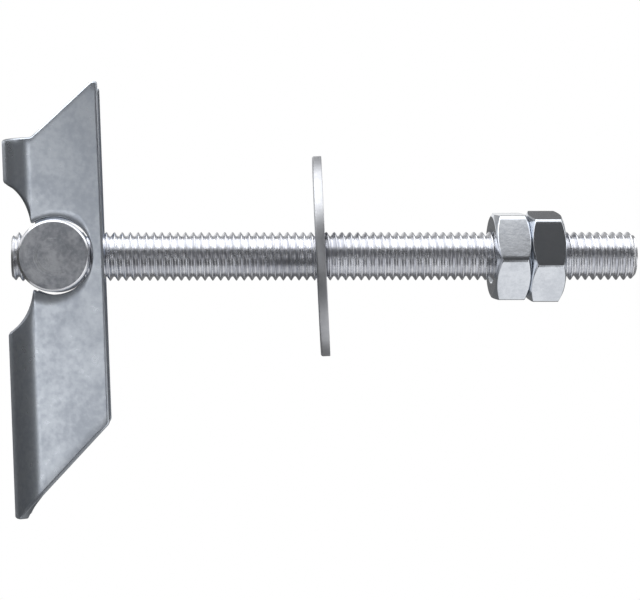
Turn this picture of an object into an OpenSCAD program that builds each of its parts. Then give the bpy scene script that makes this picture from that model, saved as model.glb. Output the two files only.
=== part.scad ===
// Gravity toggle ceiling anchor: a folded channel pivots on a barrel nut at the top of a threaded rod,
// and a washer with two nuts clamps the ceiling from below.
// Millimetres, +Z up along the rod. The origin is on the rod's axis, level with the channel's free edges,
// where the toggle lies on the ceiling board.

/* [Channel] */
// Outer width of the channel across its two flanges
channel_w = 13; // [13:0.1:18]
// Height of the channel from its free edges to the back of its web
channel_h = 15.4; // [14.5:0.1:20]
// Thickness of the folded sheet
sheet_t = 1.5; // [0.8:0.1:2]
// Inside radius of the two bends
bend_r = 3.3; // [1.5:0.1:4.5]
// Height of the pivot above the free edges
pivot_h = 7.7; // [7.2:0.1:8.4]
// How far the toggle hangs out of level, turned about its pivot
toggle_lean = 2.1; // [-6:0.1:6]

/* [Channel ends] */
// From the pivot to the straight end of the web on the short arm
short_web = 18.6; // [16:0.1:22]
// From the pivot to the tips of the flanges on the short arm
short_tip = 27; // [24:0.1:32]
// Height of the blunt nose of those tips
tip_nose = 1; // [0.5:0.1:3]
// From the pivot to the straight end of the web on the long arm
long_web = 40.9; // [36:0.1:43]
// From the pivot to the free edges' corner on the long arm
long_edge = 26.5; // [24.5:0.1:30]

/* [Notch over the pivot] */
// Half length of the notch along the web
notch_l = 11.8; // [9:0.1:14]
// Half width of the notch, measured on the flat sheet
notch_w = 7.9; // [7.2:0.1:8.6]
// Squareness of the notch's outline: 2 is an ellipse and more is squarer
notch_power = 3; // [2:0.1:4]

/* [Pivot barrel] */
// Diameter of the barrel
barrel_d = 11.3; // [10.5:0.1:12]
// Gap all round between the barrel and its holes in the flanges
barrel_gap = 0.4; // [0.1:0.05:0.4]
// How far the barrel stands out of each flange
barrel_out = 1; // [0.5:0.1:2]
// Chamfer on the ends of the barrel
barrel_chamfer = 0.45; // [0.2:0.05:1]

/* [Threaded rod] */
// Outer diameter of the thread's crests
rod_d = 7.9; // [6:0.1:8]
// Whole length of the rod
rod_l = 99.6; // [95:0.1:140]
// How far the rod stands above the pivot
rod_up = 6.8; // [6:0.1:9]
// Chamfer on the ends of the rod
rod_chamfer = 0.75; // [0.3:0.05:0.9]
// Gap all round between the rod and the threaded holes that run on it
thread_gap = 0.05; // [0.02:0.01:0.1]

/* [Washer] */
// Outer diameter of the washer
washer_d = 32; // [24:0.5:40]
// Diameter of the washer's hole beyond the rod's
washer_play = 0.5; // [0.4:0.1:1]
// Thickness of the washer
washer_t = 1.5; // [1:0.1:1.6]
// From the pivot to the middle of the washer
washer_down = 42.2; // [20:0.05:58]
// How far the washer leans in the plane that the toggle turns in
washer_lean = 2.5; // [0:0.1:4]
// How far the washer leans along the pivot's axis
washer_nod = 4.3; // [0:0.1:5]

/* [Nuts] */
// Width across the flats of each nut
nut_af = 13.5; // [13:0.1:15]
// Height of each nut
nut_h = 5.6; // [4:0.1:7]
// From the pivot to the top of the inner nut
nut_down = 69.6; // [62:0.1:78]
// Gap between the two nuts, which are run up against each other
nut_gap = 0.02; // [0.02:0.01:0.5]
// How much narrower than the width across the flats the chamfer leaves each face
nut_face_cut = 0.7; // [0.3:0.1:1.5]
// Angle of the chamfer on the nuts' corners
nut_chamfer_angle = 30; // [20:1:35]
// Depth of the countersink at each end of a nut's thread
nut_sink = 0.4; // [0.2:0.05:0.8]
// Turn of a corner of the inner nut away from the front
inner_nut_turn = -6; // [-30:1:30]
// Turn of a corner of the outer nut away from the front
outer_nut_turn = -13; // [-30:1:30]

/* [Hidden] */
$fn = 96;
// Room that a cutting tool has past what it cuts
over = 2;
// Stations along the bend's arc where a cut follows the folded sheet
cut_steps = 24;
// Height of the lines where the flanges run into the bends
bend_z = channel_h - sheet_t - bend_r;
// Radius of the sheet's middle surface in a bend
mid_r = bend_r + sheet_t / 2;
// Half width of the web's flat strip, and the flat sheet's distances from the web's middle line
web_flat = channel_w / 2 - sheet_t - bend_r;
blank_bend = web_flat + mid_r * PI / 2;
blank_edge = blank_bend + bend_z;
// Where the long arm's slanting cut, at 45 degrees on the flat sheet, meets its straight end
blank_break = blank_edge - (long_web - long_edge);
barrel_l = channel_w + 2 * barrel_out;
thread_hole_r = rod_d / 2 + thread_gap;
rod_top = pivot_h + rod_up;

// Where a point of the flat sheet goes when the channel is folded, as [y, z].
// u is the distance from the web's middle line and d the distance out of the sheet's middle surface.
function fold_half(u, d) =
    u <= web_flat ? [u, channel_h - sheet_t / 2 + d] :
    u >= blank_bend ? [web_flat + mid_r + d, bend_z - (u - blank_bend)] :
    let (turn = (u - web_flat) / mid_r * 180 / PI)
    [web_flat + (mid_r + d) * sin(turn), bend_z + (mid_r + d) * cos(turn)];
function fold(u, d) = let (p = fold_half(abs(u), d)) [u < 0 ? -p.x : p.x, p.y];

// A cut punched in the flat sheet and folded with it: at each u in the list it runs from x0 to x1,
// and its walls stay square to the sheet.
module folded_cut(us, x0, x1) {
    reach = sheet_t / 2 + min(over, bend_r) / 2;
    points = [for (i = [0 : len(us) - 1])
        let (inner = fold(us[i], -reach), outer = fold(us[i], reach))
        each [[x0[i], inner.x, inner.y], [x1[i], inner.x, inner.y],
              [x1[i], outer.x, outer.y], [x0[i], outer.x, outer.y]]];
    sides = [for (i = [0 : len(us) - 2], k = [0 : 3])
        let (a = 4 * i + k, b = 4 * i + (k + 1) % 4)
        each [[a, b, b + 4], [a, b + 4, a + 4]]];
    last = 4 * (len(us) - 1);
    polyhedron(points, concat([[3, 2, 1, 0]], sides, [[last, last + 1, last + 2, last + 3]]));
}

// The bent section, swept along X from one arm's end to the other's.
module channel_blank() {
    rotate([90, 0, 90]) translate([0, 0, -long_web]) linear_extrude(long_web + short_tip)
        difference() {
            union() {
                for (side = [-1, 1]) translate([side * web_flat, bend_z]) circle(bend_r + sheet_t);
                translate([-web_flat, bend_z]) square([2 * web_flat, channel_h - bend_z]);
                translate([-channel_w / 2, 0]) square([channel_w, bend_z]);
            }
            for (side = [-1, 1]) translate([side * web_flat, bend_z]) circle(bend_r);
            translate([-web_flat, 0]) square([2 * web_flat, channel_h - sheet_t]);
            translate([-channel_w / 2 + sheet_t, -over]) square([channel_w - 2 * sheet_t, bend_z + over]);
        }
}

// The short arm's end: straight across the web and its bends, then slanting out to the flanges' blunt tips.
module short_end() {
    far = short_tip + over;
    rotate([90, 0, 0]) linear_extrude(channel_w + 2 * over, center = true)
        polygon([[short_web, bend_z], [short_tip, tip_nose], [far, tip_nose],
                 [far, channel_h + over], [short_web, channel_h + over]]);
}

// The long arm's end: a slanting cut up each flange that runs on into the bend.
module long_end() {
    us = concat([blank_break],
                [for (i = [1 : cut_steps]) let (u = blank_break + (blank_bend - blank_break) * i / cut_steps)
                    if (u > blank_break) u],
                [blank_edge + over]);
    ends = [for (u = us) -long_edge - (blank_edge - u)];
    far = [for (u = us) -long_web - over];
    for (side = [0, 1]) mirror([0, side, 0]) folded_cut(us, far, ends);
}

// The notch over the pivot, which leaves claws that reach round the barrel.
module notch() {
    us = [for (i = [-cut_steps + 1 : cut_steps - 1]) notch_w * sin(90 * i / cut_steps)];
    half = [for (u = us) notch_l * pow(1 - pow(abs(u) / notch_w, notch_power), 1 / notch_power)];
    folded_cut(us, [for (x = half) -x], half);
}

module toggle_bar() {
    color("lightsteelblue")
    translate([0, 0, pivot_h]) rotate([0, -toggle_lean, 0]) translate([0, 0, -pivot_h])
        difference() {
            channel_blank();
            short_end();
            long_end();
            notch();
            translate([0, 0, pivot_h]) rotate([90, 0, 0])
                cylinder(r = barrel_d / 2 + barrel_gap, h = channel_w + 2 * over, center = true);
        }
}

module pivot_barrel() {
    color("slategray") translate([0, 0, pivot_h])
        difference() {
            rotate([90, 0, 0]) turned_bar(barrel_d, barrel_l, barrel_chamfer);
            cylinder(r = thread_hole_r, h = barrel_d + 2 * over, center = true);
        }
}

// A round bar on its own axis, centred, with a 45 degree chamfer on both ends.
module turned_bar(d, l, chamfer) {
    rotate_extrude() polygon([[0, -l / 2], [d / 2 - chamfer, -l / 2], [d / 2, chamfer - l / 2],
                              [d / 2, l / 2 - chamfer], [d / 2 - chamfer, l / 2], [0, l / 2]]);
}

module threaded_rod() {
    color("silver") translate([0, 0, rod_top - rod_l / 2]) turned_bar(rod_d, rod_l, rod_chamfer);
}

module washer() {
    color("gainsboro") translate([0, 0, pivot_h - washer_down]) rotate([-washer_nod, -washer_lean, 0])
        difference() {
            cylinder(d = washer_d, h = washer_t, center = true);
            cylinder(d = rod_d + washer_play, h = washer_t + 2 * over, center = true);
        }
}

// A hexagon nut from z = 0 down, with its corners chamfered at both ends and its thread countersunk.
module hex_nut() {
    corner_r = nut_af / 2 / cos(30);
    face_r = (nut_af - nut_face_cut) / 2;
    drop = (corner_r + over - face_r) * tan(nut_chamfer_angle);
    difference() {
        intersection() {
            translate([0, 0, -nut_h]) cylinder(r = corner_r, h = nut_h, $fn = 6);
            rotate_extrude()
                polygon([[0, 0], [face_r, 0], [corner_r + over, -drop], [corner_r + over, drop - nut_h],
                         [face_r, -nut_h], [0, -nut_h]]);
        }
        translate([0, 0, -nut_h - over]) cylinder(r = thread_hole_r, h = nut_h + 2 * over);
        for (end = [0, 1]) translate([0, 0, -end * nut_h]) mirror([0, 0, end])
            translate([0, 0, -nut_sink])
                cylinder(r1 = thread_hole_r, r2 = thread_hole_r + 2 * nut_sink, h = 2 * nut_sink);
    }
}

// A nut whose top lies this far below the pivot, with a corner turned away from the front.
module nut_on_rod(down, turn) {
    translate([0, 0, pivot_h - down]) rotate([0, 0, turn - 90]) hex_nut();
}

module inner_nut() {
    color("gainsboro") nut_on_rod(nut_down, inner_nut_turn);
}

module outer_nut() {
    color("lightgray") nut_on_rod(nut_down + nut_h + nut_gap, outer_nut_turn);
}

toggle_bar();
pivot_barrel();
threaded_rod();
washer();
inner_nut();
outer_nut();
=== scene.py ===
import math
import bmesh
import bpy
import numpy as np
from mathutils import Matrix


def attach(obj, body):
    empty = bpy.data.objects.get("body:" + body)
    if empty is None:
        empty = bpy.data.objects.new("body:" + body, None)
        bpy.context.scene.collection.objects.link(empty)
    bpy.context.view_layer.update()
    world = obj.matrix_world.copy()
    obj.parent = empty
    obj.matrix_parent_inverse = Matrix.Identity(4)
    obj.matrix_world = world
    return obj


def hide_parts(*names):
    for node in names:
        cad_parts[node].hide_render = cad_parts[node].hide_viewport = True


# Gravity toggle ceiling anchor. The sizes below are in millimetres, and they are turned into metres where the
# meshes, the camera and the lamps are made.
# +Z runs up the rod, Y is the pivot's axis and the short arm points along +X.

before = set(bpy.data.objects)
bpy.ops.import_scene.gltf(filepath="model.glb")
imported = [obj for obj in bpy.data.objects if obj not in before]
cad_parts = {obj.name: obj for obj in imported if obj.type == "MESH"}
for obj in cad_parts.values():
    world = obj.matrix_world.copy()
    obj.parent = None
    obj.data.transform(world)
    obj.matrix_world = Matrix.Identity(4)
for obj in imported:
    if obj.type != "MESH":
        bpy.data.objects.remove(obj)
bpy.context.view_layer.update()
scene = bpy.context.scene
scene.view_settings.view_transform = "Standard"
millimetre = 0.001


def gridFaces(rows, columns, first, closeRows, closeColumns):
    # quads between neighbours of a rows x columns grid whose first vertex has the index first
    index = first + np.arange(rows * columns).reshape(rows, columns)
    if closeRows:
        index = np.vstack([index, index[:1]])
    if closeColumns:
        index = np.hstack([index, index[:, :1]])
    return np.stack([index[:-1, :-1], index[:-1, 1:], index[1:, 1:], index[1:, :-1]], -1).reshape(-1, 4)


def surfaceMesh(name, grids, wear=None):
    # each grid is (points[rows, columns, 3], closeRows, closeColumns); shared seams are welded afterwards.
    # wear holds one number per point, which the finish reads as the attribute "wear": how far worn edges are
    # dulled and how dark their painted shade is
    points, faces, first = [], [], 0
    for grid, closeRows, closeColumns in grids:
        points.append(grid.reshape(-1, 3))
        faces.append(gridFaces(grid.shape[0], grid.shape[1], first, closeRows, closeColumns))
        first += grid.shape[0] * grid.shape[1]
    points, faces = np.vstack(points) * millimetre, np.vstack(faces)
    mesh = bpy.data.meshes.new(name)
    mesh.vertices.add(len(points))
    mesh.vertices.foreach_set("co", points.astype(np.float32).ravel())
    mesh.loops.add(faces.size)
    mesh.loops.foreach_set("vertex_index", faces.astype(np.int32).ravel())
    mesh.polygons.add(len(faces))
    mesh.polygons.foreach_set("loop_start", np.arange(0, faces.size, 4, dtype=np.int32))
    mesh.update(calc_edges=True)
    if wear is not None:
        layer = mesh.attributes.new("wear", "FLOAT", "POINT")
        layer.data.foreach_set("value", wear.astype(np.float32).ravel())
    return mesh


def finishMesh(mesh, sharpAngle=None):
    # welds the seams, drops faces that closed up, turns every face outwards and smooths the shading
    work = bmesh.new()
    work.from_mesh(mesh)
    bmesh.ops.remove_doubles(work, verts=work.verts, dist=2e-7)
    bmesh.ops.dissolve_degenerate(work, edges=work.edges, dist=1e-7)
    bmesh.ops.recalc_face_normals(work, faces=work.faces)
    work.to_mesh(mesh)
    work.free()
    mesh.polygons.foreach_set("use_smooth", np.ones(len(mesh.polygons), bool))
    if sharpAngle:
        mesh.set_sharp_from_angle(angle=math.radians(sharpAngle))
    mesh.update()
    return mesh


def addPiece(name, mesh, body, node, material):
    # stands in for a node of the frame, on its body and with its material slot
    piece = bpy.data.objects.new(name, mesh)
    scene.collection.objects.link(piece)
    mesh.materials.append(material)
    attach(piece, body)
    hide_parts(node)
    return piece


def turned(points, degrees, axis, centre=(0, 0, 0)):
    # points turned about an axis through centre
    matrix = np.array(Matrix.Rotation(math.radians(degrees), 3, axis))
    return (points - centre) @ matrix.T + centre


def smoothStep(low, high, value):
    # an eased step from 0 to 1 while value goes from low to high
    share = np.clip((value - low) / (high - low), 0, 1)
    return share * share * (3 - 2 * share)


class Value:
    # wraps a node's number socket, so that sums and products of sockets are written as plain expressions
    def __init__(self, paint, socket):
        self.paint, self.socket = paint, socket

    def apply(self, operation, *others):
        return self.paint.node("ShaderNodeMath", {"operation": operation}, [self, *others])

    def __abs__(self):
        return self.apply("ABSOLUTE")

    def __add__(self, other):
        return self.apply("ADD", other)

    def __sub__(self, other):
        return self.apply("SUBTRACT", other)

    def __rsub__(self, other):
        return self.paint.node("ShaderNodeMath", {"operation": "SUBTRACT"}, [other, self])

    def __mul__(self, other):
        return self.apply("MULTIPLY", other)

    def __truediv__(self, other):
        return self.apply("DIVIDE", other)

    def __pow__(self, other):
        return self.apply("POWER", other)

    __radd__, __rmul__ = __add__, __mul__


class Paint:
    # the nodes of one material, or of the world
    def __init__(self, owner, shader="Principled BSDF"):
        owner.use_nodes = True
        self.material = owner
        self.tree = owner.node_tree
        self.shader = self.tree.nodes[shader]
        self.place = self.node("ShaderNodeTexCoord", {}, {}, "Object")

    def node(self, kind, settings, inputs, output=0):
        made = self.tree.nodes.new(kind)
        for key, setting in settings.items():
            if key == "stops":
                elements = made.color_ramp.elements
                elements.remove(elements[1])
                elements[0].position, elements[0].color = setting[0]
                for position, colour in setting[1:]:
                    elements.new(position).color = colour
            else:
                setattr(made, key, setting)
        entries = enumerate(inputs) if isinstance(inputs, (list, tuple)) else inputs.items()
        for key, entry in entries:
            self.feed(made.inputs[key], entry)
        return Value(self, made.outputs[output])

    def feed(self, socket, entry):
        if isinstance(entry, Value):
            self.tree.links.new(entry.socket, socket)
        else:
            socket.default_value = entry

    def axes(self):
        # the three Object coordinates, in metres
        return [self.node("ShaderNodeSeparateXYZ", {}, [self.place], k) for k in (0, 1, 2)]

    def noise(self, scale, detail=3.0, roughness=0.55, distortion=0.0, stretch=(1, 1, 1)):
        # cloudy noise between 0 and 1 on Object coordinates; scale is in patches per metre
        place = self.node("ShaderNodeMapping", {}, {"Vector": self.place, "Scale": stretch})
        return self.node("ShaderNodeTexNoise", {}, {"Vector": place, "Scale": scale, "Detail": detail,
                                                    "Roughness": roughness, "Distortion": distortion}, "Fac")

    def between(self, value, low, high, newLow=0.0, newHigh=1.0):
        # an eased step from newLow to newHigh while value goes from low to high
        return self.node("ShaderNodeMapRange", {"interpolation_type": "SMOOTHSTEP"},
                         [value, low, high, newLow, newHigh])

    def mixColour(self, share, first, second):
        return self.node("ShaderNodeMix", {"data_type": "RGBA"}, {0: share, 6: first, 7: second}, 2)

    def bump(self, height, distance, strength):
        return self.node("ShaderNodeBump", {}, {"Height": height, "Distance": distance, "Strength": strength},
                         "Normal")

    def wear(self):
        # the mesh's own measure of how far its sheared edges are dulled by wear and darkened by painted shade
        return self.node("ShaderNodeAttribute", {"attribute_name": "wear"}, {}, "Fac")

    def finish(self, **sockets):
        # feeds the shader; an underscore stands for the space in a socket's name
        for name, entry in sockets.items():
            self.feed(self.shader.inputs[name.replace("_", " ")], entry)
        return self.material

    def show(self, shader):
        self.feed(self.tree.nodes["Material Output"].inputs["Surface"], shader)


def zincFinish(name, tint, shade, values):
    # zinc plating: cloudy colour, a fine crystalline grain and faint handling scratches
    paint = Paint(bpy.data.materials.new(name))
    cloud = paint.noise(values["cloud"], 4.0, 0.6)
    grain = paint.noise(values["grain"], 2.0, 0.6)
    scratch = paint.noise(values["grain"] * 0.5, 2.0, 0.5, 0.3, values["stretch"])
    stain = paint.between(cloud * 0.6 + grain * 0.4, 0.38, 0.64)
    colour = paint.mixColour(stain, (*tint, 1), (*shade, 1))
    roughness = (values["roughness"] + (cloud - 0.5) * values["cloudRough"]
                 + (grain - 0.5) * values["grainRough"])
    height = cloud * values["dents"] + grain * values["pits"] + scratch * values["scratches"]
    return paint, colour, roughness, height


toggle = {
    "width": 13.0, "height": 15.4, "sheet": 1.5, "insideBend": 3.3, "pivotHeight": 7.7, "lean": 2.1,
    "shortWeb": 18.6, "shortTip": 27.0, "tipNose": 1.0, "longWeb": 40.9, "longEdge": 26.5,
    "notchLength": 11.8, "notchWidth": 7.9, "notchPower": 3.0, "holeRadius": 6.05,
    "cornerRounding": 0.55,   # window of the averaging that rounds the outlines' corners
    # how far in, and how deep, shearing drew the outer face's edges over
    "notchRoll": 0.5, "freeRoll": 0.32, "slantRoll": 0.6, "holeRoll": 0.12, "rollDepth": 0.22,
    "rollSpread": 1.6,        # length over which that follows a corner
    "rollBlend": 1.5,         # length over which one width of it runs into the next
    "cornerClear": 0.4,       # how far from a corner that starts
    "burr": 0.07,             # rounding of the inner edges
    "rows": 16, "spacing": 0.32, "turnPerStep": 7.0,
}
bendZ = toggle["height"] - toggle["sheet"] - toggle["insideBend"]
middleRadius = toggle["insideBend"] + toggle["sheet"] / 2
webFlat = toggle["width"] / 2 - toggle["sheet"] - toggle["insideBend"]
blankBend = webFlat + middleRadius * math.pi / 2
blankEdge = blankBend + bendZ
blankPivot = blankEdge - toggle["pivotHeight"]
blankBreak = blankEdge - (toggle["longWeb"] - toggle["longEdge"])


def foldSheet(x, u, d):
    # where a point of the flat sheet goes: u is its distance across from the web's middle line and d its
    # height out of the sheet's middle surface; flat web, then an arc of middleRadius, then the flange
    side, across = np.sign(u), np.abs(u)
    angle = np.clip((across - webFlat) / middleRadius, 0, math.pi / 2)
    inFlange = np.maximum(across - blankBend, 0)
    y = np.minimum(across, webFlat) + (middleRadius + d) * np.sin(angle)
    z = bendZ + (middleRadius + d) * np.cos(angle) - inFlange
    return np.stack([x, side * y, z], -1)


def evenly(path, spacing=0.02):
    # a closed outline resampled at even steps along its length
    closed = np.vstack([path, path[:1]])
    length = np.r_[0, np.cumsum(np.hypot(*np.diff(closed, axis=0).T))]
    at = np.linspace(0, length[-1], int(length[-1] / spacing), endpoint=False)
    return np.stack([np.interp(at, length, closed[:, k]) for k in (0, 1)], -1), length[-1]


def averaged(path, reach):
    # a moving average along a closed outline, taken twice
    for _ in range(2):
        padded = np.vstack([path[-reach:], path, path[:reach]])
        total = np.vstack([np.zeros((1, 2)), np.cumsum(padded, axis=0)])
        path = (total[2 * reach + 1:] - total[:-2 * reach - 1]) / (2 * reach + 1)
    return path


def easedOutline(path, rounding, spread):
    # an outline with rounded corners, and beside each point the direction square to it,
    # which swings round corners slowly enough for the rolled edge not to fold over itself
    path, length = evenly(path)
    steps = len(path) / length
    path = averaged(path, int(rounding / 2 * steps))
    ahead = np.roll(path, -1, 0) - np.roll(path, 1, 0)
    ahead /= np.hypot(*ahead.T)[:, None]
    return np.hstack([path, averaged(np.stack([-ahead[:, 1], ahead[:, 0]], -1), int(spread / 2 * steps))])


def toggleOutlines():
    # the sheet's outer outline, and the opening that the notch and the two barrel holes make together
    t = toggle
    half = np.array([[-t["longWeb"], 0], [-t["longWeb"], blankBreak], [-t["longEdge"], blankEdge],
                     [t["shortTip"], blankEdge], [t["shortTip"], blankEdge - t["tipNose"]],
                     [t["shortWeb"], blankBend], [t["shortWeb"], 0]], float)
    outer = np.vstack([half, half[-2:0:-1] * [1, -1]])
    u = np.linspace(0, t["notchWidth"], 4000)
    x = t["notchLength"] * (1 - (u / t["notchWidth"]) ** t["notchPower"]) ** (1 / t["notchPower"])
    meet = np.argmax(x ** 2 + (u - blankPivot) ** 2 < t["holeRadius"] ** 2)
    start = math.atan2(u[meet] - blankPivot, -x[meet]) % (2 * math.pi)
    angle = np.linspace(start, math.pi - start, 2000)
    arc = np.stack([t["holeRadius"] * np.cos(angle), blankPivot + t["holeRadius"] * np.sin(angle)], -1)
    left = np.stack([-x[:meet], u[:meet]], -1)
    half = np.vstack([left, arc, left[::-1] * [-1, 1]])
    inner = np.vstack([half, half[-2:0:-1] * [1, -1]])
    return outer, inner, (x[meet], u[meet])


def nearest(path, points):
    # for each point, the index of the outline's nearest one
    return np.argmin(((path[None, :, :2] - points[:, None]) ** 2).sum(-1), 1)


def along(path, at):
    # a closed outline read at fractional indices
    index = np.arange(len(path) + 1)
    return np.stack([np.interp(at, index, np.r_[column, column[0]]) for column in path.T], -1)


def toggleMesh():
    # the flat sheet is a ring of stations, each a closed section that runs round the outer edge, over the
    # inner face, round the opening's edge and back over the outer face; then foldSheet folds every point
    t = toggle
    outer, inner, cusp = toggleOutlines()
    outer = easedOutline(outer, t["cornerRounding"], t["rollSpread"])
    inner = easedOutline(inner, t["cornerRounding"], t["rollSpread"])
    # pairs of points, one on each outline, that the lines of the grid join
    r, slant, nose = t["holeRadius"], t["longWeb"] - t["longEdge"], t["shortTip"] - t["shortWeb"]
    pairs = np.array([
        [-t["notchLength"], 0, -t["longWeb"], 0],
        [-cusp[0], cusp[1], -t["longWeb"] + 0.25 * slant, blankBreak + 0.25 * slant],
        [-r, blankPivot, -t["longWeb"] + 0.55 * slant, blankBreak + 0.55 * slant],
        [-0.707 * r, blankPivot + 0.707 * r, -t["longEdge"], blankEdge],
        [0, blankPivot + r, 0, blankEdge],
        [0.707 * r, blankPivot + 0.707 * r, t["shortTip"], blankEdge],
        [r, blankPivot, t["shortWeb"] + 0.4 * nose, blankBend + 0.4 * (blankEdge - blankBend)],
        [cusp[0], cusp[1], t["shortWeb"], blankBend],
        [t["notchLength"], 0, t["shortWeb"], 0]])
    pairs = np.vstack([pairs, pairs[-2:0:-1] * [1, -1, 1, -1]])
    innerAt, outerAt = nearest(inner, pairs[:, :2]), nearest(outer, pairs[:, 2:])
    innerAt, outerAt = np.r_[innerAt, len(inner)].astype(float), np.r_[outerAt, len(outer)].astype(float)
    innerAt[0] = outerAt[0] = 0
    share = np.linspace(0, len(pairs), 60001)
    curves = [along(path, np.interp(share, np.arange(len(pairs) + 1), at))
              for path, at in ((inner, innerAt), (outer, outerAt))]
    # stations packed where either outline is long or turns
    crowd = np.zeros(len(share) - 1)
    for curve in curves:
        step = np.diff(curve[:, :2], axis=0)
        heading = np.unwrap(np.arctan2(step[:, 1], step[:, 0]))
        crowd += np.hypot(*step.T) / t["spacing"]
        crowd += np.abs(np.gradient(heading)) / math.radians(t["turnPerStep"])
    total = np.r_[0, np.cumsum(crowd)]
    stations = np.interp(np.linspace(0, total[-1], int(total[-1]), endpoint=False), total, share)
    inner, outer = [np.stack([np.interp(stations, share, column) for column in curve.T], -1)
                    for curve in curves]
    half, depth, burr = t["sheet"] / 2, t["rollDepth"], t["burr"]
    burrShare = burr / t["notchRoll"]
    # (share of the rolled edge's width, height, wear and painted shade) from the outer face round to the
    # inner one
    rim = [(1, half, 0), (0.8, half - 0.07 * depth, 0.1), (0.55, half - 0.3 * depth, 0.5),
           (0.28, half - 0.64 * depth, 0.8), (0.08, half - 0.95 * depth, 1), (0.02, half - 1.2 * depth, 1),
           (0, half - 1.7 * depth, 1), (0, 0, 1), (0, -half + burr, 1),
           (0.3 * burrShare, -half + 0.3 * burr, 1), (burrShare, -half, 0.3)]
    # the notch and the long arm's slanted end roll over further than the barrel holes and the free edges,
    # and the short arm's nose gets hardly any of the painted edge shade and wear
    blend, clear, x, across = t["rollBlend"], t["cornerClear"], outer[:, 0], np.abs(outer[:, 1])
    onSlant = smoothStep(0, blend, -t["longEdge"] - clear - x) * smoothStep(0, 1, across - blankBreak)
    onNose = smoothStep(0, blend, x - t["shortWeb"]) * smoothStep(0, 0.6, blankEdge - clear - across)
    inNotch = smoothStep(0.3, blend, np.hypot(inner[:, 0], np.abs(inner[:, 1]) - blankPivot) - r)
    innerRoll = (t["holeRoll"] + (t["notchRoll"] - t["holeRoll"]) * inNotch)[:, None]
    outerRoll = (t["freeRoll"] + (t["slantRoll"] - t["freeRoll"]) * onSlant)[:, None]
    innerEdge = [(inner[:, :2] + inner[:, 2:] * share * innerRoll, h, wear) for share, h, wear in rim]
    outerEdge = [(outer[:, :2] - outer[:, 2:] * share * outerRoll, h, wear) for share, h, wear in rim]
    sections = outerEdge.copy()
    for h, start, end, edge in ((-half, outerEdge[-1], innerEdge[-1], innerEdge[::-1]),
                                (half, innerEdge[0], outerEdge[0], [])):
        sections += [(start[0] * (1 - s) + end[0] * s, h, 0) for s in np.linspace(0, 1, t["rows"])[1:-1]]
        sections += edge
    grid = np.stack([foldSheet(path[:, 0], path[:, 1], h) for path, h, _ in sections])
    wear = np.array([wear for *_, wear in sections])[:, None] + 0 * grid[..., 0]
    wear[:len(rim)] *= 1 - 0.9 * onNose
    grid = turned(grid, -t["lean"], "Y", (0, 0, t["pivotHeight"]))
    return finishMesh(surfaceMesh("toggleChannel", [(grid, True, True)], wear))


barrel = {"diameter": 11.3, "length": 15.0, "chamfer": 0.45, "edgeRadius": 0.08, "boreRadius": 4.0,
          "endSteps": 40, "topRows": 26, "rings": 26, "boreRings": 9}


def barrelMesh():
    # two curved rectangles with a round rim in each, the bore between the rims, and a turned end on each side
    b = barrel
    radius, halfLength = b["diameter"] / 2, b["length"] / 2
    wallEnd = halfLength - b["chamfer"]
    # the unrolled upper wall is a rectangle, radius x angle from the top by y, with the bore's rim inside it
    n = b["endSteps"]
    angle = np.linspace(-math.pi / 2, math.pi / 2, n + 1)
    width = np.linspace(-wallEnd, wallEnd, n + 1)
    border = np.vstack([np.stack([angle[:-1] * radius, np.full(n, -wallEnd)], -1),
                        np.stack([np.full(n, radius * math.pi / 2), width[:-1]], -1),
                        np.stack([angle[::-1][:-1] * radius, np.full(n, wallEnd)], -1),
                        np.stack([np.full(n, -radius * math.pi / 2), width[::-1][:-1]], -1)])
    azimuth = np.arctan2(border[:, 1], border[:, 0])
    rim = np.stack([radius * np.arcsin(b["boreRadius"] * np.cos(azimuth) / radius),
                    b["boreRadius"] * np.sin(azimuth)], -1)
    share = np.linspace(0, 1, b["topRows"])[:, None, None]
    flat = rim * (1 - share) + border * share
    grids = []
    turn = flat[..., 0] / radius
    for side in (1, -1):
        wall = np.stack([radius * np.sin(turn), flat[..., 1], side * radius * np.cos(turn)], -1)
        grids.append((wall, False, True))
    # the bore between the two rims
    rimX, rimZ = radius * np.sin(rim[:, 0] / radius), radius * np.cos(rim[:, 0] / radius)
    bore = np.stack([np.stack([rimX, rim[:, 1], rimZ * s], -1) for s in np.linspace(1, -1, b["boreRings"])])
    grids.append((bore, False, True))
    # the ends: chamfer with its two edges eased, then rings in to the middle
    ease, c = b["edgeRadius"], b["chamfer"]
    profile = [(radius, wallEnd), (radius - 0.29 * ease, wallEnd + 0.71 * ease),
               (radius - c + 0.71 * ease, halfLength - 0.29 * ease), (radius - c, halfLength)]
    profile += [(s * (radius - c), halfLength) for s in np.linspace(1, 0, b["rings"])[1:]]
    profile = np.array(profile)
    around = np.linspace(0, 2 * math.pi, 2 * n, endpoint=False) + math.pi / 2
    for side in (1, -1):
        r, y = profile[:, :1], profile[:, 1:] * side
        grids.append((np.stack([r * np.cos(around), y + 0 * around, r * np.sin(around)], -1), False, True))
    grids = [(grid + [0, 0, toggle["pivotHeight"]], rows, columns) for grid, rows, columns in grids]
    return finishMesh(surfaceMesh("pivotBarrel", grids), 24)


thread = {"pitch": 1.25, "crestRadius": 3.88, "rootRadius": 3.22, "crestFlat": 0.08, "rootFlat": 0.16,
          "start": 0.4}
rod = {"length": 99.6, "above": 6.8, "endRadius": 3.2, "around": 72, "endRings": 10}


def threadRadius(phase):
    # radius of the thread where phase, counted in pitches, is 0 at a root and a half at a crest:
    # a flat root, a 60 degree flank and a flat crest, eased into each other
    away = np.abs((phase + 0.5) % 1 - 0.5) * 2
    flank = smoothStep(thread["rootFlat"] * 0.55, 1 - thread["crestFlat"] * 0.55, away)
    straight = np.clip((away - thread["rootFlat"]) / (1 - thread["rootFlat"] - thread["crestFlat"]), 0, 1)
    height = thread["crestRadius"] - thread["rootRadius"]
    return thread["rootRadius"] + height * (0.35 * flank + 0.65 * straight)


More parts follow.
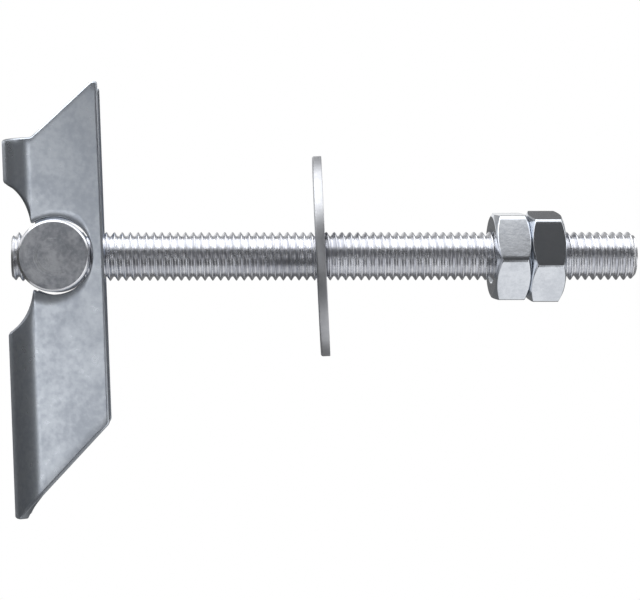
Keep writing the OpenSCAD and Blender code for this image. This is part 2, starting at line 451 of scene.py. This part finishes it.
def rodMesh():
    # the thread's profile carried along a right-handed helix, cut off square and chamfered at both ends
    pitch, n = thread["pitch"], rod["around"]
    top = toggle["pivotHeight"] + rod["above"]
    bottom = top - rod["length"]
    phases = np.array([0, 0.08, 0.16, 0.24, 0.33, 0.42, 0.48, 0.52, 0.58, 0.67, 0.76, 0.84, 0.92, 1.0])
    turns = int(math.ceil(rod["length"] / pitch)) + 2
    step = np.arange(turns * n + 1)[:, None]
    angle = 2 * math.pi * step / n
    z = bottom - pitch + pitch * (step / n + phases[None]) + thread["start"] - pitch
    radius = threadRadius(phases)[None] + 0 * z
    # the chamfers: a 45 degree cone at each end, with the thread fading out in it
    fromEnd = np.minimum(z - bottom, top - z)
    radius = np.minimum(radius, rod["endRadius"] + np.maximum(fromEnd, 0))
    z = np.clip(z, bottom, top)
    grid = np.stack([radius * np.cos(angle), radius * np.sin(angle), z], -1)
    around = np.arange(n) * 2 * math.pi / n
    grids = [(grid, False, False)]
    ring = rod["endRadius"] * np.linspace(1, 0, rod["endRings"])[:, None]
    for level in (top, bottom):
        end = np.stack([ring * np.cos(around), ring * np.sin(around), level + 0 * ring * around], -1)
        grids.append((end, False, True))
    return finishMesh(surfaceMesh("threadedRod", grids))


washer = {"diameter": 32.0, "hole": 8.4, "thickness": 1.5, "down": 42.2, "lean": 2.5, "nod": 4.3,
          "rollover": 0.35, "burr": 0.1, "around": 192, "rings": 14}


def lathe(profile, around):
    # a closed profile of (radius, z) pairs turned about Z
    angle = np.linspace(0, 2 * math.pi, around, endpoint=False)
    r, z = profile[:, :1], profile[:, 1:]
    return np.stack([r * np.cos(angle), r * np.sin(angle), z + 0 * angle], -1)


def washerMesh():
    # punched disc: the upper edges are drawn over, the lower ones keep a small burr's radius
    w = washer
    outer, inner, half = w["diameter"] / 2, w["hole"] / 2, w["thickness"] / 2
    quarter = np.linspace(0, math.pi / 2, 6)
    over, burr = w["rollover"], w["burr"]
    profile = [(inner + over * (1 - np.sin(a)), half - over * (1 - np.cos(a))) for a in quarter[::-1]]
    profile += [(r, half) for r in np.linspace(inner + over, outer - over, w["rings"])[1:-1]]
    profile += [(outer - over * (1 - np.sin(a)), half - over * (1 - np.cos(a))) for a in quarter]
    profile += [(outer - burr * (1 - np.sin(a)), -half + burr * (1 - np.cos(a))) for a in quarter[::-1]]
    profile += [(r, -half) for r in np.linspace(outer - burr, inner + burr, w["rings"])[1:-1]]
    profile += [(inner + burr * (1 - np.sin(a)), -half + burr * (1 - np.cos(a))) for a in quarter]
    profile = np.array(profile)
    grid = lathe(profile, w["around"])
    # the drawn-over outer rim: a little duller from wear, and painted darker there as shade
    wear = smoothStep(outer - over, outer - 0.3 * over, profile[:, :1]) + 0 * grid[..., 0]
    grid = turned(turned(grid, -w["nod"], "X"), -w["lean"], "Y") + [0, 0, toggle["pivotHeight"] - w["down"]]
    return finishMesh(surfaceMesh("ceilingWasher", [(grid, True, True)], wear))


nut = {"acrossFlats": 13.5, "height": 5.6, "down": 69.6, "gap": 0.02, "faceCut": 0.7, "chamferAngle": 30.0,
       "sink": 0.4, "bore": 8.0, "cornerSharpness": 70.0, "edgeRadius": 0.12,
       "innerTurn": -6.0, "outerTurn": -13.0, "around": 240}


def nutMesh(name, down, turn):
    # for each azimuth one closed section: the bore, the countersink, the face, the chamfer and the flat.
    # The six flats are blended by a high power, which eases the corners between them.
    n = nut
    apothem, faceRadius = n["acrossFlats"] / 2, (n["acrossFlats"] - n["faceCut"]) / 2
    share = np.linspace(0, 1, n["around"] // 6, endpoint=False)
    azimuth = (share + 0.11 * np.sin(2 * math.pi * share)) * math.pi / 3   # packed towards the corners
    azimuth = (azimuth[None] + np.arange(6)[:, None] * math.pi / 3).ravel()
    normals = (np.arange(6) + 0.5) * math.pi / 3
    facing = np.maximum(np.cos(azimuth[:, None] - normals), 0)
    radius = apothem * (facing ** n["cornerSharpness"]).sum(1) ** (-1 / n["cornerSharpness"])
    slope = math.tan(math.radians(n["chamferAngle"]))
    drop = np.maximum(radius - faceRadius, 0) * slope
    bore, half, sink, ease = n["bore"] / 2, n["height"] / 2, n["sink"], n["edgeRadius"]
    # (radius, depth below the face) of the upper half, from the bore outwards
    section = [(bore, sink + (half - sink) * (1 - s)) for s in (0.0, 0.33, 0.66)]
    section += [(bore, sink + 0.02), (bore + 0.02, sink - 0.02), (bore + sink - 0.03, 0.03),
                (bore + sink + 0.03, 0)]
    section += [((bore + sink) * (1 - s) + faceRadius * s, 0) for s in np.linspace(0, 1, 8)[1:-1]]
    section += [(faceRadius - ease, 0), (faceRadius, 0.012),
                (np.minimum(faceRadius + ease, radius - 0.6 * ease),
                 np.minimum(ease, radius - 0.6 * ease - faceRadius) * slope),
                (radius - 0.5 * ease, np.maximum(drop - 0.5 * ease * slope, 0.02)),
                (radius - 0.14 * ease, drop + 0.06 * ease), (radius, drop + 0.5 * ease)]
    section += [(radius, (drop + ease) * (1 - s) + half * s) for s in (0.0, 0.33, 0.66, 1.0)]
    upper = np.array([(r + 0 * radius, depth + 0 * radius) for r, depth in section])
    lower = upper[-2:0:-1].copy()
    lower[:, 1] = n["height"] - lower[:, 1]
    section = np.vstack([upper, lower])
    around = azimuth + math.radians(turn - 90)
    r, depth = section[:, 0], section[:, 1]
    grid = np.stack([r * np.cos(around), r * np.sin(around), toggle["pivotHeight"] - down - depth], -1)
    return finishMesh(surfaceMesh(name, [(grid, True, True)]), 40)


def channelFinish():
    paint, colour, roughness, height = zincFinish("zincSheet", (0.68, 0.73, 0.8), (0.55, 0.6, 0.68), {
        "cloud": 160, "grain": 1100, "roughness": 0.3, "cloudRough": 0.14, "grainRough": 0.08,
        "dents": 0.25, "pits": 0.03, "scratches": 0.02, "stretch": (0.15, 1, 1)})
    wear = paint.wear()
    # the rolled and sheared edges are painted dark grey as shade, and are a little rougher from wear
    colour = paint.mixColour(wear * 0.88, colour, (0.18, 0.19, 0.205, 1))
    return paint.finish(Base_Color=colour, Metallic=1.0, Roughness=roughness + wear * 0.15,
                        Normal=paint.bump(height, 0.00012, 0.4))


def barrelFinish():
    paint, colour, roughness, height = zincFinish("turnedZinc", (0.6, 0.62, 0.66), (0.37, 0.39, 0.44), {
        "cloud": 300, "grain": 1500, "roughness": 0.24, "cloudRough": 0.16, "grainRough": 0.1,
        "dents": 0.2, "pits": 0.1, "scratches": 0.0, "stretch": (1, 1, 1)})
    # turning marks: rings about the pivot's axis
    x, y, z = paint.axes()
    level = z - toggle["pivotHeight"] * millimetre
    radius = (x * x + level * level) ** 0.5
    rings = paint.node("ShaderNodeTexNoise", {"noise_dimensions": "1D"},
                       {"W": radius, "Scale": 5200, "Detail": 2.0}, "Fac")
    # the faced ends are duller than the chamfer and the wall
    inEnd = (barrel["length"] / 2 - 0.05) * millimetre
    end = paint.between(abs(y), inEnd, inEnd + 0.03 * millimetre)
    colour = paint.mixColour(end, (0.7, 0.71, 0.74, 1), colour)
    return paint.finish(Base_Color=colour, Metallic=1.0, Roughness=roughness + end * 0.2,
                        Normal=paint.bump(height + rings * end, 0.00006, 0.7))


def rodFinish():
    paint, colour, roughness, height = zincFinish("threadZinc", (0.76, 0.77, 0.8), (0.64, 0.65, 0.69), {
        "cloud": 300, "grain": 2000, "roughness": 0.28, "cloudRough": 0.14, "grainRough": 0.06,
        "dents": 0.2, "pits": 0.1, "scratches": 0.0, "stretch": (1, 1, 1)})
    return paint.finish(Base_Color=colour, Metallic=1.0, Roughness=roughness,
                        Normal=paint.bump(height, 0.00004, 0.5))


def washerFinish():
    paint, colour, roughness, height = zincFinish("washerZinc", (0.74, 0.75, 0.78), (0.6, 0.61, 0.65), {
        "cloud": 140, "grain": 1300, "roughness": 0.3, "cloudRough": 0.16, "grainRough": 0.1,
        "dents": 0.5, "pits": 0.1, "scratches": 0.1, "stretch": (0.15, 1, 1)})
    wear = paint.wear()
    # the drawn-over rim is painted darker grey as shade, and is a little rougher from wear
    colour = paint.mixColour(wear * 0.6, colour, (0.36, 0.37, 0.39, 1))
    return paint.finish(Base_Color=colour, Metallic=1.0, Roughness=roughness + wear * 0.12,
                        Normal=paint.bump(height, 0.0001, 0.5))


def nutFinish():
    paint, colour, roughness, height = zincFinish("nutZinc", (0.7, 0.73, 0.78), (0.59, 0.62, 0.67), {
        "cloud": 260, "grain": 1300, "roughness": 0.16, "cloudRough": 0.1, "grainRough": 0.06,
        "dents": 0.4, "pits": 0.1, "scratches": 0.1, "stretch": (1, 1, 0.2)})
    return paint.finish(Base_Color=colour, Metallic=1.0, Roughness=roughness,
                        Normal=paint.bump(height, 0.0001, 0.5))


print("making the channel")
addPiece("toggleChannel", toggleMesh(), "toggle", "toggle_bar", channelFinish())
print("making the barrel")
addPiece("pivotBarrel", barrelMesh(), "barrel", "pivot_barrel", barrelFinish())
print("cutting the thread")
addPiece("threadedRod", rodMesh(), "rod", "threaded_rod", rodFinish())
print("making the washer")
addPiece("ceilingWasher", washerMesh(), "washer", "washer", washerFinish())
print("making the nuts")
nutZinc = nutFinish()
outerDown = nut["down"] + nut["height"] + nut["gap"]
for name, node, down, turn in (("innerNut", "inner_nut", nut["down"], nut["innerTurn"]),
                               ("outerNut", "outer_nut", outerDown, nut["outerTurn"])):
    addPiece(name, nutMesh(name, down, turn), node, node, nutZinc)


studio = {
    "lens": 120.9, "shift": -0.06875, "place": (-7.094, -342.823, -9.97),
    "right": (-0.00255, -0.07079, -0.99749), "up": (0.99978, -0.02087, -0.00107),
    "floorLevel": -108.0, "floorFade": (70.0, 105.0), "worldLight": 0.7,
}


def makeCamera():
    data = bpy.data.cameras.new("mainCamera")
    data.sensor_width, data.lens, data.shift_y = 36.0, studio["lens"], studio["shift"]
    data.clip_start, data.clip_end = 0.01, 50.0
    camera = bpy.data.objects.new("mainCamera", data)
    scene.collection.objects.link(camera)
    # its axes, with up squared to the others
    right, up = np.array(studio["right"]), np.array(studio["up"])
    back = np.cross(right, up)
    up = np.cross(back, right)
    matrix = np.eye(4)
    matrix[:3, :3] = np.stack([right, up, back], -1)
    matrix[:3, 3] = np.array(studio["place"]) * millimetre
    camera.matrix_world = Matrix(matrix.tolist())
    scene.camera = camera


def plane(name, centre, right, up, width, height):
    # a flat sheet of four corners, facing right x up
    centre, right, up = (np.array(v, float) for v in (centre, right, up))
    share = np.array([[[-1, -1], [1, -1]], [[-1, 1], [1, 1]]]) / 2
    grid = centre + share[..., :1] * right * width + share[..., 1:] * up * height
    mesh = surfaceMesh(name, [(grid, False, False)])
    sheet = bpy.data.objects.new(name, mesh)
    scene.collection.objects.link(sheet)
    return sheet


# the lighter patch of the front sheet: its middle, half sizes, soft borders, slant and glow
fill = {"x": -25, "z": 112, "halfX": 220, "halfZ": 127, "softX": 190, "softZ": 62, "slant": -0.5,
        "glow": 1.5, "dark": 0.12}
# the sheet beyond the rod's end: (angle about the rod from the lens upwards, in degrees, and glow)
ring = ((-180, 0.3), (-160, 0.25), (-119, 0.15), (-115, 0.95), (-60, 0.95), (-55, 0.09), (46, 0.09),
        (57, 1.8), (114, 1.75), (117, 0.2), (160, 0.2), (164, 1.0), (175, 1.0), (178, 0.3))
# the patch fades out between two distances in metres and lies between angles, as shares of a turn
patch = {"fade": (0.14, 0.24), "start": (0.3, 0.36), "end": (0.45, 0.48), "glow": 1.1}


def seenDirectly(paint):
    # 1 for rays that show the background: those of the lens, mirrored ones and refracted ones
    rays = [paint.node("ShaderNodeLightPath", {}, {}, kind) for kind in
            ("Is Camera Ray", "Is Glossy Ray", "Is Transmission Ray")]
    return rays[0].apply("MAXIMUM", rays[1]).apply("MAXIMUM", rays[2])


def emission(paint, strength):
    return paint.node("ShaderNodeEmission", {}, {"Color": (1, 1, 1, 1), "Strength": strength})


def makeFloor():
    # pale near the anchor, where it takes the shadow, and running out into the white backdrop around that
    floor = plane("floor", (0, 0, studio["floorLevel"]), (1, 0, 0), (0, 1, 0), 8000, 8000)
    paint = Paint(bpy.data.materials.new("paleFloor"))
    tone = paint.noise(3, 2.0)
    paint.finish(Base_Color=paint.mixColour(tone, (0.86, 0.86, 0.86, 1), (0.9, 0.9, 0.9, 1)), Roughness=0.7)
    x, y = paint.axes()[:2]
    start, end = [v * millimetre for v in studio["floorFade"]]
    faded = paint.between((x * x + y * y) ** 0.5, start, end)
    pale = Value(paint, paint.shader.outputs[0])
    share = faded * seenDirectly(paint)
    paint.show(paint.node("ShaderNodeMixShader", {}, [share, pale, emission(paint, 1.0)]))
    floor.data.materials.append(paint.material)


def card(name, centre, right, up, width, height, glow):
    # a sheet that the lens doesn't see but the metal reflects; glow is a number or builds one from nodes
    sheet = plane(name, centre, right, up, width, height)
    sheet.visible_camera = sheet.visible_shadow = sheet.visible_diffuse = False
    paint = Paint(bpy.data.materials.new(name))
    paint.show(emission(paint, glow(paint) if callable(glow) else glow))
    sheet.data.materials.append(paint.material)


def patchGlow(paint):
    # dark, with a soft-edged lighter rectangle that fills the channel's flat side
    x, z = paint.axes()[::2]
    share = fill["glow"] - fill["dark"]
    for away, half, soft in ((x - fill["x"] * millimetre, fill["halfX"], fill["softX"]),
                             (z + x * fill["slant"] - fill["z"] * millimetre, fill["halfZ"], fill["softZ"])):
        share = paint.between(abs(away), (half - soft) * millimetre, half * millimetre, 1, 0) * share
    return share + fill["dark"]


def roundGlow(paint):
    # on the sheet beyond the rod's end, the same light and dark as the sheets all round, by the angle about
    # the rod; the ramp holds half the glow, as a grey, and low in front a lighter patch lies near the rod
    x, y = paint.axes()[:2]
    turn = x.apply("ARCTAN2", y * -1) / (2 * math.pi) + 0.5
    stops = [(degrees / 360 + 0.5, (glow / 2,) * 3 + (1,)) for degrees, glow in ring]
    around = paint.node("ShaderNodeValToRGB", {"stops": stops}, [turn]) * 2
    near = paint.between((x * x + y * y) ** 0.5, *patch["fade"], 1, 0)
    lowFront = paint.between(turn, *patch["start"]) * paint.between(turn, *patch["end"], 1, 0)
    return around + near * lowFront * patch["glow"]


def lamp(name, place, towards, width, height, power):
    # a rectangular lamp at place, facing towards
    data = bpy.data.lights.new(name, "AREA")
    data.shape, data.energy = "RECTANGLE", power
    data.size, data.size_y = width * millimetre, height * millimetre
    light = bpy.data.objects.new(name, data)
    scene.collection.objects.link(light)
    place, towards = np.array(place, float), np.array(towards, float)
    back = (place - towards) / np.linalg.norm(place - towards)
    right = np.cross((0, 0, 1), back)
    right = right / np.linalg.norm(right) if np.linalg.norm(right) > 1e-6 else np.array([1.0, 0, 0])
    matrix = np.eye(4)
    matrix[:3, :3] = np.stack([right, np.cross(back, right), back], -1)
    matrix[:3, 3] = place * millimetre
    light.matrix_world = Matrix(matrix.tolist())


def makeWorld():
    # white where the background shows, and a softer light on everything else
    scene.world = bpy.data.worlds.new("studioWorld")
    paint = Paint(scene.world, "Background")
    light = studio["worldLight"]
    paint.finish(Color=(1, 1, 1, 1), Strength=seenDirectly(paint) * (1 - light) + light)


print("setting up the studio")
makeCamera()
makeFloor()
makeWorld()
# dark sheets stand in front, at the sides, low down and behind, as in a studio tent. The open strip behind
# and above them is the white background; the lighter patch in front fills the flat flange.
toX, toY, toZ = (1, 0, 0), (0, 1, 0), (0, 0, 1)
for name, centre, right, up, width, height, glow in (
        ("lensSide", (-55, -620, 0), toZ, toX, 1700, 1370, patchGlow),
        ("channelSide", (-275, -60, 700), toY, toX, 1120, 930, 0.09),
        ("rodSide", (0, -10, -104), toY, toX, 1220, 1280, roundGlow),
        ("farLow", (-335, 600, 0), toZ, toX, 1700, 810, 0.17),
        ("farHigh", (409, 600, 0), toZ, toX, 1700, 382, 0.45),
        ("highBack", (640, 445, 0), toZ, toY, 1700, 310, 0.2),
        ("lowSide", (-650, -10, 0), toZ, toY, 1700, 1220, 0.12)):
    card(name, centre, right, up, width, height, glow)
lamp("topLamp", (620, -134, -20), (0, -134, -20), 847, 1300, 6.2)
lamp("lowLamp", (-620, -34, -20), (0, -34, -20), 648, 1300, 1.6)
